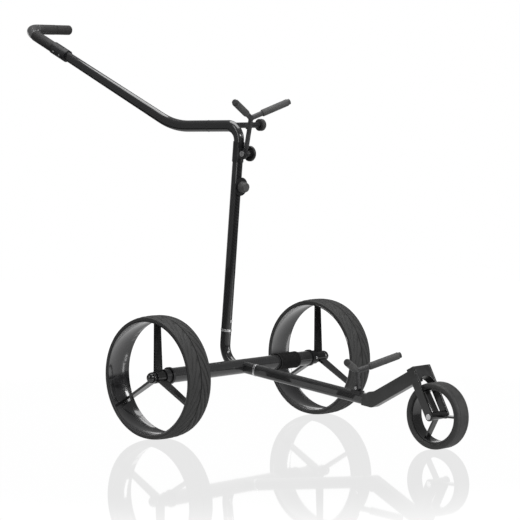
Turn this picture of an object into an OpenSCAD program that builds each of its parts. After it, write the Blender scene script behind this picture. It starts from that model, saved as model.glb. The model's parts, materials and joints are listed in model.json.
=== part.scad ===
// Three-wheel golf push trolley: a carbon tube frame in three plugged pieces,
// two large drum-rim rear wheels, one small front wheel in a raked fork,
// a folding bag cradle above and below, and a one-hand L-shaped grip.
// Millimetres, +Z up, forward is -Y, the user's left is +X, floor at Z = 0.
// The YZ origin of every local figure below is the floor under the rear axle.

/* [Rear wheels] */
// outside diameter of the rear tyres
wheel_d = 285; // [240:1:330]
// distance between the rear wheels' middle planes
track = 554; // [460:2:640]
// width of a rear tyre
tyre_w = 67; // [40:1:80]
// depth from the tread down to the inside of the drum rim
ring_t = 12.5; // [9:0.5:20]
// thickness of the drum rim
rim_t = 2.5; // [1.5:0.5:5]
// width of a spoke blade at the hub
spoke_w_hub = 24; // [14:1:34]
// width of a spoke blade at the rim
spoke_w_rim = 17; // [10:1:30]
// thickness of a spoke blade
spoke_t = 6; // [3:0.5:10]
// number of spokes in each wheel
spokes = 3; // [3:1:7]

/* [Front wheel and fork] */
// distance from the rear axle forward to the front axle
wheelbase = 599.4; // [500:1:700]
// outside diameter of the front tyre
front_d = 148; // [120:1:200]
// width of the front tyre
front_w = 45; // [30:1:48]
// radial depth of the front tyre
front_tyre_t = 13.5; // [8:0.5:20]
// backward lean of the fork legs
fork_rake = 27.3; // [15:0.1:40]
// gap between the fork legs
fork_gap = 50; // [40:1:60]
// thickness of a fork leg
leg_t = 5.5; // [4:0.5:10]
// width of a fork leg
leg_w = 20; // [14:1:28]
// height of the fork crown's top above the front axle
crown_top = 117; // [100:1:140]

/* [Frame tubes] */
// diameter of the axle tube
axle_d = 35; // [28:1:45]
// width of the flattened frame tubes, across the trolley
tube_w = 18; // [14:0.5:28]
// depth of the flattened frame tubes
tube_d = 27.5; // [20:0.5:36]
// wall of the frame tubes
wall = 2; // [1.5:0.5:3]
// forward lean of the mast
mast_lean = 6.4; // [0:0.1:15]
// downward slope of the front arm
arm_drop = 7; // [0:0.1:15]
// length of the front arm from the axle to the fork bar's joint
arm_len = 390; // [340:1:430]
// height of the level top tube
top_z = 715; // [640:1:800]
// distance that a plug joint reaches into its tube
plug_len = 62; // [40:1:80]

/* [Handle and grip] */
// rise of the sloping handle
handle_rise = 25; // [10:0.5:45]
// length of the sloping handle up to its collar
handle_len = 373; // [300:1:420]
// depth of the handle tube where it enters the collar
handle_top_d = 24.3; // [20:0.1:27]
// thickness of the wrapped grip
grip_d = 27; // [22:0.5:34]
// reach of the grip to the user's left
grip_reach = 153; // [120:1:190]

/* [Bag cradles] */
// half of the distance across a cradle's arm tips
cradle_half = 94; // [70:1:120]
// diameter of the soft sleeves on the cradle arms
sleeve_d = 16.8; // [12:0.2:24]

/* [Hidden] */
$fn = 72;

// colours
CARBON = [0.10, 0.10, 0.11];
GLOSS = [0.07, 0.07, 0.08];
MATTE = [0.20, 0.20, 0.20];
RUBBER = [0.26, 0.26, 0.26];
STEEL = [0.80, 0.81, 0.82];
WRAP = [0.15, 0.15, 0.15];

// fits
RUN = 0.05;       // radial clearance of a shaft that turns or slides in its hole
PLUG_PLAY = 0.1;  // clearance all round a plug inside its tube

// ---- derived values ----
axle_z = wheel_d / 2;
rim_r = wheel_d / 2 - ring_t;        // inside of the drum rim
tyre_in_r = rim_r + rim_t;           // seat of the tyre
half_track = track / 2;
front_z = front_d / 2;
FRONT = [-wheelbase, front_z];       // front axle, [y, z]
AXLE = [0, axle_z];                  // rear axle, [y, z]

// one heading is an angle from +Y towards +Z
mast_dir = 90 + mast_lean;
arm_dir = 180 + arm_drop;
leg_dir = 90 - fork_rake;            // from the front axle up the fork
bar_dir = 180 - fork_rake;           // forward and up, square to the fork

function go(p, dir, s) = [p[0] + s * cos(dir), p[1] + s * sin(dir)];
// where the line through p heading a meets the line through q heading b
function meet(p, a, q, b) =
  let (d = sin(b - a), t = ((q[0] - p[0]) * sin(b) - (q[1] - p[1]) * cos(b)) / d) go(p, a, t);

// mast: a bend out of the axle, a silver ring, then the straight tube
socket_r = 50;
MAST_FOOT = [51.4, axle_z + 52.5];
SOCKET_C = go(MAST_FOOT, mast_dir + 90, socket_r);
ring_h = 6;
mast_ring_s = 29.5;
mast_start = mast_ring_s + ring_h;
elbow_r = 34;
TOP_CORNER = meet(MAST_FOOT, mast_dir, [0, top_z], 0);
corner_s = (top_z - MAST_FOOT[1]) / cos(mast_lean);
mast_end = corner_s - elbow_r * tan((90 + mast_lean) / 2);
ELBOW_C = go(go(MAST_FOOT, mast_dir, mast_end), mast_dir - 90, elbow_r);

// handle: level tube, long bend, slope, collar, grip
seam_y = 96;
seam_w = 1.6;
handle_r = 220;
bend_corner_y = 214.6;
bend_y = bend_corner_y - handle_r * tan(handle_rise / 2);
BEND_C = [bend_y, top_z + handle_r];
SLOPE = go(BEND_C, handle_rise - 90, handle_r);
collar_len = 56;
collar_r = 15.6;
pocket_len = 16;
grip_start = handle_len + collar_len;
grip_corner = grip_start + 119.6;
grip_bend_r = 40;
core_r = 11;
grip_r = grip_d / 2;
side_r = grip_r - 0.6;
grip_seam_x = 100;
grip_gap = 1;

// front arm and fork bar
arm_ring_s = 46;
arm_start = arm_ring_s + ring_h;
bar_h = 31;
bar_w = 22;
bar_round = 18;
bar_level = 102;                      // height of the bar's middle line above the front axle
BAR_END = go(go(FRONT, leg_dir, bar_level), bar_dir + 180, leg_w / 2);
ARM_TOP = go(AXLE, arm_dir - 90, tube_d / 2);
ARM_LOW = go(AXLE, arm_dir + 90, tube_d / 2);
BAR_TOP = go(BAR_END, leg_dir, bar_h / 2);
BAR_LOW = go(BAR_END, leg_dir + 180, bar_h / 2);
JOINT_TOP = go(ARM_TOP, arm_dir, arm_len);
JOINT_LOW = go(ARM_LOW, arm_dir, arm_len);
BAR_KNEE = meet(ARM_TOP, arm_dir, BAR_TOP, bar_dir);
ROUND_C = meet(go(ARM_LOW, arm_dir - 90, bar_round), arm_dir, go(BAR_LOW, leg_dir, bar_round), bar_dir);

// wheel hubs, measured outwards from the middle of the axle
flange_x = 237;
flange_end = 243;
nose_end = 260;
barrel_start = 262;
barrel_end = 287;
cap_x = 294;
cap_r = 13;
shaft_r = 6;
nose_r = 16.5;
release_x = 251;

// cradles
lower_s = 368;
LOWER_PIVOT = go(go(AXLE, arm_dir, lower_s), arm_dir - 90, tube_d / 2 + 7.5);
LOWER_FORK = [-365.5, axle_z + 14];
LOWER_TIP = [-417, axle_z + 46.5];
upper_s = 459.5;
UPPER_PIVOT = go(go(MAST_FOOT, mast_dir, upper_s), mast_dir + 90, 24);
UPPER_FORK = [-43, top_z + 18];
UPPER_TIP = [-80.5, top_z + 56];
rod_r = 6.2;
stem_r = 5.6;
neck_r = 4.6;
plug_t = 6;
lug_t = 9.6;

// the object's box is centred on Y = 0
y_front = -wheelbase - front_z;
y_rear = go(SLOPE, handle_rise, grip_corner)[0] + side_r;
y_axle = -(y_front + y_rear) / 2;

// ---- shapes that several parts share ----

// puts a shape drawn from the floor under the axle at its place
module place() { translate([0, y_axle, 0]) children(); }

// drawn in [y, z], extruded along X
module side_plane() { rotate([90, 0, 90]) children(); }

// Z of the child runs along the heading, its Y lies in the side plane
module along(p, dir) {
  side_plane() translate([p[0], p[1], 0]) rotate([0, 0, dir]) rotate([0, 90, 0]) children();
}

// flattened tube section: w across the trolley, d in the side plane
module oval(w, d) {
  square([w, d - w], center = true);
  for (s = [-1, 1]) translate([0, s * (d - w) / 2]) circle(d = w);
}

module oval_tube(w, d) {
  difference() { oval(w, d); oval(w - 2 * wall, d - 2 * wall); }
}

module bend(c, r, from, to) {
  side_plane() translate([c[0], c[1], 0]) rotate([0, 0, from])
    rotate_extrude(angle = to - from) translate([r, 0]) rotate(90) children();
}

// a shape of revolution about the axle line: drawn as [radius, x]
module about_x(p) {
  translate([0, p[0], p[1]]) rotate([0, 90, 0]) rotate_extrude() children();
}

module disc_x(p, x0, x1, r) {
  translate([x0, p[0], p[1]]) rotate([0, 90, 0]) cylinder(h = x1 - x0, r = r);
}

// left as drawn, right turned half round about the upright through the axle
module side(left) { if (left) children(); else rotate([0, 0, 180]) children(); }

// round bar between two points in space
module rod3(a, b, r) {
  v = b - a;
  l = norm(v);
  translate(a) rotate([0, acos(v[2] / l), atan2(v[1], v[0])]) cylinder(h = l, r = r);
}

module axle_solid() { rotate([0, 90, 0]) cylinder(h = 2 * flange_x, d = axle_d, center = true); }

// ---- axle and sockets ----

module axle_tube() {
  color(CARBON) place() translate([0, 0, axle_z]) difference() {
    axle_solid();
    rotate([0, 90, 0]) cylinder(h = 2 * flange_x + 2, r = axle_d / 2 - 2.5, center = true);
  }
}

// end bush: a spigot in the axle tube, a flange, and the nose that holds the release button
module axle_bush(left) {
  color(MATTE) place() side(left) difference() {
    union() {
      disc_x(AXLE, flange_x - 20, flange_x, axle_d / 2 - 2.5);
      disc_x(AXLE, flange_x, flange_end, 20);
      disc_x(AXLE, flange_end, nose_end, nose_r);
    }
    disc_x(AXLE, flange_x - 21, nose_end + 1, shaft_r + RUN);
    translate([release_x, 0, axle_z]) rotate([90, 0, 0]) cylinder(h = 30, r = 3.6);
  }
}
module axle_bush_left() { axle_bush(true); }
module axle_bush_right() { axle_bush(false); }

module mast_socket() {
  color(CARBON) place() difference() {
    union() {
      bend(SOCKET_C, socket_r, -75, mast_lean) oval(tube_w - 0.1, tube_d - 0.1);
      along(MAST_FOOT, mast_dir) linear_extrude(height = mast_ring_s) oval_tube(tube_w, tube_d);
    }
    translate([0, 0, axle_z]) axle_solid();
  }
}

module joint_ring() {
  linear_extrude(height = ring_h) difference() {
    oval(tube_w + 1.6, tube_d + 1.6);
    oval(tube_w - 2 * wall, tube_d - 2 * wall);
  }
}

// plug: tight in the fixed tube, easy in the tube that pulls off
module spigot(fixed, free) {
  translate([0, 0, -fixed]) linear_extrude(height = fixed + ring_h)
    oval(tube_w - 2 * wall, tube_d - 2 * wall);
  translate([0, 0, ring_h]) linear_extrude(height = free)
    oval(tube_w - 2 * wall - 2 * PLUG_PLAY, tube_d - 2 * wall - 2 * PLUG_PLAY);
}

module mast_ring() {
  color(STEEL) place() along(go(MAST_FOOT, mast_dir, mast_ring_s), mast_dir) joint_ring();
}

// the groove along the plug's front gives the catch room in every position
module mast_spigot() {
  color(MATTE) place() along(go(MAST_FOOT, mast_dir, mast_ring_s), mast_dir) difference() {
    spigot(25, plug_len);
    translate([-4, tube_d / 2 - wall - 3, ring_h + 0.01]) cube([8, 6, plug_len + 1]);
  }
}

module arm_socket() {
  color(CARBON) place() difference() {
    along(AXLE, arm_dir) linear_extrude(height = arm_ring_s) oval_tube(tube_w, tube_d);
    translate([0, 0, axle_z]) axle_solid();
  }
}

module arm_ring() {
  color(STEEL) place() along(go(AXLE, arm_dir, arm_ring_s), arm_dir) joint_ring();
}

module arm_spigot() {
  color(MATTE) place() along(go(AXLE, arm_dir, arm_ring_s), arm_dir) difference() {
    spigot(22, plug_len);
    translate([-tube_w / 2 + wall - 3, -4, ring_h + 0.01]) cube([6, 8, plug_len + 1]);
  }
}

// ribbed twist sleeve on the left half of the axle
module axle_sleeve() {
  color(RUBBER) place() difference() {
    disc_x(AXLE, 122, 191, 20.3);
    disc_x(AXLE, 121, 192, axle_d / 2 + 0.3);
  }
}

// ---- rear wheels ----

// stub axle that slides in its bush and carries the wheel
module stub_axle(left) {
  color(STEEL) place() side(left) {
    disc_x(AXLE, 208, 297, shaft_r);
    disc_x(AXLE, nose_end + 0.4, barrel_start - 0.4, 9);
    disc_x(AXLE, barrel_end + 2, barrel_end + 4.5, 8.5);
  }
}
module stub_axle_left() { stub_axle(true); }
module stub_axle_right() { stub_axle(false); }

module tyre(left) {
  r = wheel_d / 2;
  w = tyre_w / 2;
  color(RUBBER) place() side(left) translate([half_track, 0, 0]) about_x(AXLE)
    polygon([[tyre_in_r, -w], [r - 3.6, -w], [r - 1.3, 10 - w], [r, 0],
             [r - 1.3, w - 10], [r - 3.6, w], [tyre_in_r, w]]);
}
module tyre_left() { tyre(true); }
module tyre_right() { tyre(false); }

module rim(left) {
  color(GLOSS) place() side(left) translate([half_track, 0, 0]) about_x(AXLE)
    translate([rim_r, -tyre_w / 2]) square([rim_t, tyre_w]);
}
module rim_left() { rim(true); }
module rim_right() { rim(false); }

// hub barrel and blade spokes; one spoke stands upright
module spider(left) {
  color(GLOSS) place() side(left) difference() {
    union() {
      disc_x(AXLE, barrel_start, barrel_end, 14);
      intersection() {
        disc_x(AXLE, flange_x, cap_x + 30, rim_r);
        translate([half_track - 2, 0, axle_z])
          for (i = [0:spokes - 1]) rotate([i * 360 / spokes, 0, 0])
            rotate([90, 0, 0]) translate([0, 0, -spoke_t / 2]) linear_extrude(height = spoke_t)
              polygon([[-spoke_w_hub / 2, 8], [spoke_w_hub / 2, 8],
                       [spoke_w_rim / 2, rim_r + 2], [-spoke_w_rim / 2, rim_r + 2]]);
      }
    }
    disc_x(AXLE, barrel_start - 1, barrel_end + 1, shaft_r + RUN);
  }
}
module spider_left() { spider(true); }
module spider_right() { spider(false); }

// round cap over the stub axle's end
module hub_cap(left) {
  color(GLOSS) place() side(left) about_x(AXLE) difference() {
    intersection() {
      union() {
        translate([0, cap_x]) circle(r = cap_r);
        translate([0, barrel_end]) square([11.4, cap_x - barrel_end]);
      }
      translate([0, barrel_end]) square([20, 40]);
    }
    translate([-1, barrel_end - 1]) square([10.5, cap_x + 6 - barrel_end]);
  }
}
module hub_cap_left() { hub_cap(true); }
module hub_cap_right() { hub_cap(false); }

// push button in the nose that frees the stub axle
module release(left) {
  color(STEEL) place() side(left)
    translate([release_x, -8.5, axle_z]) rotate([90, 0, 0]) cylinder(h = nose_r - 8.5 + 2, r = 3.5);
}
module release_left() { release(true); }
module release_right() { release(false); }

// ---- front arm, fork and front wheel ----

module arm_tube() {
  color(CARBON) place() difference() {
    along(go(AXLE, arm_dir, arm_start), arm_dir)
      linear_extrude(height = arm_len - arm_start) oval_tube(tube_w, tube_d);
    along(go(AXLE, arm_dir, arm_start + 22), arm_dir) rotate([0, -90, 0]) cylinder(h = 20, r = 3.1);
  }
}

module arm_catch() {
  color(STEEL) place() along(go(AXLE, arm_dir, arm_start + 22), arm_dir) rotate([0, -90, 0])
    translate([0, 0, tube_w / 2 - wall - 0.6]) cylinder(h = wall + 2.4, r = 3);
}

// flat-sided bar: a knee at the arm's end, then a straight rise to the fork
module fork_bar() {
  color(MATTE) place() side_plane() translate([0, 0, -bar_w / 2]) linear_extrude(height = bar_w) union() {
    polygon([JOINT_LOW, JOINT_TOP, BAR_KNEE, BAR_TOP, BAR_LOW,
             go(ROUND_C, leg_dir + 180, bar_round), ROUND_C, go(ROUND_C, arm_dir + 90, bar_round)]);
    translate(ROUND_C) circle(r = bar_round + 0.03);
  }
}

// fork parts are drawn with Z up the leg and Y square to it, forwards
module fork_place() { place() along(FRONT, leg_dir) children(); }

module fork_crown() {
  color(MATTE) fork_place() difference() {
    translate([-fork_gap / 2, -leg_w / 2, 73]) cube([fork_gap, leg_w, crown_top - 73]);
    translate([0, 0, 68]) rotate([90, 0, 0]) cylinder(h = leg_w + 2, r = fork_gap / 2 - 0.5, center = true);
  }
}

module fork_leg(s) {
  color(MATTE) fork_place() translate([s * (fork_gap + leg_t) / 2, 0, 0]) difference() {
    union() {
      translate([-leg_t / 2, -leg_w / 2, 0]) cube([leg_t, leg_w, crown_top]);
      rotate([0, 90, 0]) cylinder(h = leg_t, d = leg_w, center = true);
    }
    rotate([0, 90, 0]) cylinder(h = leg_t + 2, r = 4, center = true);
  }
}
// the local X of a fork part points to the user's right
module fork_leg_left() { fork_leg(-1); }
module fork_leg_right() { fork_leg(1); }

module front_axle() {
  x = fork_gap / 2 + leg_t;
  color(STEEL) place() {
    disc_x(FRONT, -x, x, 4);
    for (s = [0, 1]) disc_x(FRONT, s ? x : -x - 2.5, s ? x + 2.5 : -x, 6.8);
  }
}

module front_tyre() {
  t = front_tyre_t;
  color(RUBBER) place() about_x(FRONT) intersection() {
    translate([front_z - t / 2, 0]) rotate(90) union() {
      square([front_w - t, t], center = true);
      for (s = [-1, 1]) translate([s * (front_w - t) / 2, 0]) circle(d = t);
    }
    translate([front_z - 30, 0]) circle(r = 30);
  }
}

// rim, three thin blades and the hub in one moulding; one blade points forwards
module front_rim() {
  r = front_z - front_tyre_t;
  color(GLOSS) place() difference() {
    union() {
      about_x(FRONT) translate([r - 3, -15]) square([3, 30]);
      disc_x(FRONT, -fork_gap / 2 + 0.5, fork_gap / 2 - 0.5, 9);
      intersection() {
        disc_x(FRONT, -20, 20, r - 3);
        translate([0, FRONT[0], FRONT[1]]) for (i = [0:2]) rotate([90 + i * 120, 0, 0])
          translate([-8, -2.25, 6]) cube([16, 4.5, r]);
      }
    }
    disc_x(FRONT, -fork_gap / 2, fork_gap / 2, 4 + RUN);
  }
}

// ---- bag cradles ----

// foot plate seated on the arm, with two ears
module lower_saddle() {
  color(MATTE) place() difference() {
    union() {
      along(go(AXLE, arm_dir, lower_s - 13), arm_dir)
        translate([-8.6, -tube_d / 2 - 1.8, 0]) cube([17.2, 7.8, 26]);
      for (s = [0, 1]) {
        disc_x(LOWER_PIVOT, s ? 5 : -8, s ? 8 : -5, 5.6);
        along(go(AXLE, arm_dir, lower_s - 5.4), arm_dir)
          translate([s ? 5.2 : -7.8, -tube_d / 2 - 7.5, 0]) cube([2.6, 7, 10.8]);
      }
    }
    along(go(AXLE, arm_dir, lower_s - 20), arm_dir) linear_extrude(height = 40) oval(tube_w, tube_d);
    disc_x(LOWER_PIVOT, -10, 10, 2.5);
  }
}

module lower_pin() {
  color(STEEL) place() {
    disc_x(LOWER_PIVOT, -8, 8, 2.5);
    for (s = [0, 1]) disc_x(LOWER_PIVOT, s ? 8 : -9.2, s ? 9.2 : -8, 3.8);
  }
}

// lug, narrow neck, stem, ball and the two arms that run inside the sleeves
module yoke(pivot, fork, tip, lug_r, neck, bore_r) {
  f = [0, fork[0], fork[1]];
  p = [0, pivot[0], pivot[1]];
  up = (f - p) / norm(f - p);
  difference() {
    union() {
      disc_x(pivot, -lug_t / 2, lug_t / 2, lug_r);
      rod3(p, p + up * (neck + 1), neck_r);
      rod3(p + up * neck, f, stem_r);
      translate(f) sphere(r = 7.4);
      for (s = [-1, 1]) rod3(f, tip_at(f, tip, s, plug_t), rod_r);
    }
    disc_x(pivot, -lug_t, lug_t, bore_r);
  }
}

// the point short of an arm's tip by a distance
function tip_full(tip, s) = [s * cradle_half, tip[0], tip[1]];
function tip_at(f, tip, s, short) =
  let (t = tip_full(tip, s), v = t - f) t - v * (short / norm(v));

module sleeve(fork, tip, s) {
  f = [0, fork[0], fork[1]];
  len = norm(tip_full(tip, s) - f);
  difference() {
    rod3(tip_at(f, tip, s, len - 31), tip_at(f, tip, s, plug_t), sleeve_d / 2);
    rod3(tip_at(f, tip, s, len - 30), tip_at(f, tip, s, plug_t - 1), rod_r);
  }
}

module plugs(fork, tip) {
  f = [0, fork[0], fork[1]];
  for (s = [-1, 1]) rod3(tip_at(f, tip, s, plug_t), tip_full(tip, s), sleeve_d / 2 - 1.4);
}

module lower_yoke() {
  color(MATTE) place() yoke(LOWER_PIVOT, LOWER_FORK, LOWER_TIP, 5.4, 9, 2.5 + RUN);
}
module lower_sleeve_left() { color(RUBBER) place() sleeve(LOWER_FORK, LOWER_TIP, 1); }
module lower_sleeve_right() { color(RUBBER) place() sleeve(LOWER_FORK, LOWER_TIP, -1); }
module lower_plugs() { color(MATTE) place() plugs(LOWER_FORK, LOWER_TIP); }

module upper_yoke() {
  color(MATTE) place() yoke(UPPER_PIVOT, UPPER_FORK, UPPER_TIP, 8.4, 14, 4 + RUN);
}
module upper_sleeve_left() { color(RUBBER) place() sleeve(UPPER_FORK, UPPER_TIP, 1); }
module upper_sleeve_right() { color(RUBBER) place() sleeve(UPPER_FORK, UPPER_TIP, -1); }
module upper_plugs() { color(MATTE) place() plugs(UPPER_FORK, UPPER_TIP); }

// ---- mast and its fittings ----

module mast_tube() {
  color(CARBON) place() difference() {
    along(go(MAST_FOOT, mast_dir, mast_start), mast_dir)
      linear_extrude(height = mast_end - mast_start) oval_tube(tube_w, tube_d);
    along(go(MAST_FOOT, mast_dir, mast_start + 20), mast_dir) rotate([-90, 0, 0]) cylinder(h = 20, r = 3.6);
  }
}

module mast_catch() {
  color(STEEL) place() along(go(MAST_FOOT, mast_dir, mast_start + 20), mast_dir) rotate([-90, 0, 0])
    translate([0, 0, tube_d / 2 - wall - 0.7]) cylinder(h = wall + 2.7, r = 3.5);
}

strap_s = 380;
// round pad on the mast's front, cut to the tube behind
module strap_flange() {
  color(MATTE) place() along(go(MAST_FOOT, mast_dir, strap_s), mast_dir) difference() {
    rotate([-90, 0, 0]) translate([0, 0, tube_d / 2 - 6]) cylinder(h = 9, r1 = 10, r2 = 22);
    translate([0, 0, -30]) linear_extrude(height = 60) oval(tube_w, tube_d);
  }
}

module strap_knob() {
  color(RUBBER) place() along(go(MAST_FOOT, mast_dir, strap_s), mast_dir) rotate([-90, 0, 0])
    translate([0, 0, tube_d / 2 + 3.3]) {
      cylinder(h = 11, r = 13);
      translate([0, 0, 11]) cylinder(h = 7, r1 = 13, r2 = 10);
    }
}

// thin band round the mast with one ear in front
module mast_clamp() {
  h = 48;
  color(MATTE) place() difference() {
    union() {
      along(go(MAST_FOOT, mast_dir, mast_end - h), mast_dir) linear_extrude(height = h)
        oval(tube_w + 2.4, tube_d + 2.4);
      disc_x(UPPER_PIVOT, -10, -5, 13);
      along(go(MAST_FOOT, mast_dir, upper_s - 12.4), mast_dir) translate([5, 4, 0]) cube([5, 20, 24.8]);
    }
    along(go(MAST_FOOT, mast_dir, mast_end - h - 1), mast_dir) linear_extrude(height = h + 2)
      oval(tube_w, tube_d);
    disc_x(UPPER_PIVOT, -12, -2, 4);
  }
}

// slotted bolt through the ear, with the spacer behind the cradle's lug
module cradle_bolt() {
  color(STEEL) place() difference() {
    union() {
      disc_x(UPPER_PIVOT, -13, -10, 6.8);
      disc_x(UPPER_PIVOT, -10, 18, 4);
      disc_x(UPPER_PIVOT, 5, 10.3, 7);
    }
    translate([-13, UPPER_PIVOT[0], UPPER_PIVOT[1]]) rotate([8, 0, 0]) cube([2.4, 1.6, 20], center = true);
  }
}

module cradle_knob() {
  color(GLOSS) place() difference() {
    union() {
      disc_x(UPPER_PIVOT, 10.6, 17, 18.5);
      translate([17, UPPER_PIVOT[0], UPPER_PIVOT[1]]) rotate([0, 90, 0]) cylinder(h = 2.4, r1 = 18.5, r2 = 15.5);
    }
    disc_x(UPPER_PIVOT, 9, 18.1, 4 + RUN);
  }
}

module top_elbow() {
  color(CARBON) place() {
    bend(ELBOW_C, elbow_r, 90, 180 + mast_lean) oval_tube(tube_w, tube_d);
    along([ELBOW_C[0], top_z], 0) linear_extrude(height = seam_y - ELBOW_C[0]) oval_tube(tube_w, tube_d);
  }
}

STUB = [8, top_z + 1];
stub_x = 81;
// short rod to the user's left, with a small stud under it
module stub_rod() {
  color(MATTE) place() difference() {
    union() {
      disc_x(STUB, tube_w / 2 - 4, stub_x + 9, 6.8);
      translate([38, STUB[0], STUB[1] - 9.5]) cylinder(h = 6, r = 2.5);
    }
    bend(ELBOW_C, elbow_r, 80, 190) oval(tube_w, tube_d);
    along([ELBOW_C[0], top_z], 0) linear_extrude(height = 40) oval(tube_w, tube_d);
  }
}

module stub_knob() {
  color(RUBBER) place() difference() {
    union() {
      disc_x(STUB, stub_x, stub_x + 10, 14.5);
      translate([stub_x + 10, STUB[0], STUB[1]]) rotate([0, 90, 0]) cylinder(h = 3, r1 = 14.5, r2 = 12);
    }
    disc_x(STUB, stub_x - 1, stub_x + 9.2, 6.8 + RUN);
  }
}

// ---- handle and grip ----

module handle_seam() {
  color(GLOSS) place() along([seam_y, top_z], 0) linear_extrude(height = seam_w) difference() {
    oval(tube_w + 0.8, tube_d + 0.8);
    oval(tube_w - 2 * wall, tube_d - 2 * wall);
  }
}

// parts on the slope are drawn with Z up the handle from the end of the bend
module slope_place() { place() along(SLOPE, handle_rise) children(); }

module handle_bend() {
  color(CARBON) place() {
    along([seam_y + seam_w, top_z], 0) linear_extrude(height = bend_y - seam_y - seam_w)
      oval_tube(tube_w, tube_d);
    bend(BEND_C, handle_r, -90, handle_rise - 90) oval_tube(tube_w, tube_d);
  }
}

slope_len = handle_len + pocket_len;
// depth of the sloping tube at a distance up the slope
function slope_d(z) = tube_d + (handle_top_d - tube_d) * z / slope_len;

module taper(inset, z0, z1) {
  hull() for (z = [z0, z1 - 0.01]) translate([0, 0, z]) linear_extrude(height = 0.01)
    oval(tube_w - 2 * inset, slope_d(z) - 2 * inset);
}

module handle_slope() {
  color(CARBON) slope_place() difference() {
    taper(0, 0, slope_len);
    taper(wall, -1, slope_len + 1);
  }
}

// clamp collar: oval pocket for the handle below, round bore for the grip above
module collar() {
  color(GLOSS) slope_place() difference() {
    translate([0, 0, handle_len]) cylinder(h = collar_len, r = collar_r);
    translate([0, 0, handle_len - 1]) linear_extrude(height = 1 + pocket_len)
      oval(tube_w, slope_d(handle_len));
    translate([0, 0, handle_len + pocket_len + 3]) cylinder(h = collar_len, r = core_r + RUN);
    // long window on the user's right
    translate([collar_r - 2.5, 0, handle_len + 16]) rotate([0, 90, 0]) linear_extrude(height = 10) union() {
      for (s = [0, 24]) translate([-s, -3]) circle(r = 3.6);
      translate([-24, -6.6]) square([24, 7.2]);
    }
  }
}

module collar_screws() {
  color(STEEL) slope_place() for (s = [0, 24])
    translate([collar_r - 2.5, -3, handle_len + 16 + s]) rotate([0, 90, 0]) cylinder(h = 2.9, r = 2.6);
}

// bent core: straight stem, quarter bend to the user's left, straight reach
module grip_core() {
  z0 = handle_len + pocket_len + 4;
  color(GLOSS) slope_place() {
    translate([0, 0, z0]) cylinder(h = grip_corner - grip_bend_r - z0, r = core_r);
    translate([-grip_bend_r, 0, grip_corner - grip_bend_r]) rotate([90, 0, 0])
      rotate_extrude(angle = 90) translate([grip_bend_r, 0]) circle(r = side_r);
    translate([-grip_bend_r, 0, grip_corner]) rotate([0, -90, 0])
      cylinder(h = grip_seam_x + 20 - grip_bend_r, r = core_r);
  }
}

module grip_wrap_lower() {
  l = grip_corner - grip_bend_r - grip_start - 2 * grip_gap;
  color(WRAP) slope_place() translate([0, 0, grip_start + grip_gap]) difference() {
    cylinder(h = l + grip_gap, r = grip_r);
    translate([0, 0, -1]) cylinder(h = l + 4, r = core_r);
  }
}

module grip_wrap_side() {
  color(WRAP) slope_place() translate([-grip_bend_r, 0, grip_corner]) rotate([0, -90, 0]) difference() {
    cylinder(h = grip_seam_x - grip_bend_r - 0.8, r = side_r);
    translate([0, 0, -1]) cylinder(h = grip_seam_x, r = core_r);
  }
}

// closed end piece of the grip, rounded at its tip
module grip_end() {
  r = side_r - 0.3;
  f = 5;
  color(WRAP) slope_place() translate([-grip_seam_x, 0, grip_corner]) rotate([0, -90, 0]) difference() {
    rotate_extrude() union() {
      square([r, grip_reach - grip_seam_x - f]);
      square([r - f, grip_reach - grip_seam_x]);
      translate([r - f, grip_reach - grip_seam_x - f]) intersection() { circle(r = f); square([f, f]); }
    }
    translate([0, 0, -1]) cylinder(h = 21, r = core_r);
  }
}

axle_tube();
axle_bush_left();
axle_bush_right();
mast_socket();
mast_ring();
mast_spigot();
arm_socket();
arm_ring();
arm_spigot();
axle_sleeve();
stub_axle_left();
stub_axle_right();
tyre_left();
tyre_right();
rim_left();
rim_right();
spider_left();
spider_right();
hub_cap_left();
hub_cap_right();
release_left();
release_right();
arm_tube();
arm_catch();
fork_bar();
fork_crown();
fork_leg_left();
fork_leg_right();
front_axle();
front_tyre();
front_rim();
lower_saddle();
lower_pin();
lower_yoke();
lower_sleeve_left();
lower_sleeve_right();
lower_plugs();
mast_tube();
mast_catch();
strap_flange();
strap_knob();
mast_clamp();
cradle_bolt();
cradle_knob();
upper_yoke();
upper_sleeve_left();
upper_sleeve_right();
upper_plugs();
top_elbow();
stub_rod();
stub_knob();
handle_seam();
handle_bend();
handle_slope();
collar();
collar_screws();
grip_core();
grip_wrap_lower();
grip_wrap_side();
grip_end();
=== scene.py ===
"""Looks of a three-wheel golf push trolley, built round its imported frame.

Everything is in metres: +Z up, forward is -Y and the user's left is +X.
"""

import json
import logging
import math
from dataclasses import dataclass
from enum import Enum
from typing import Any, Callable, Iterable, Sequence

import bmesh
import bpy
from mathutils import Matrix, Vector


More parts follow.
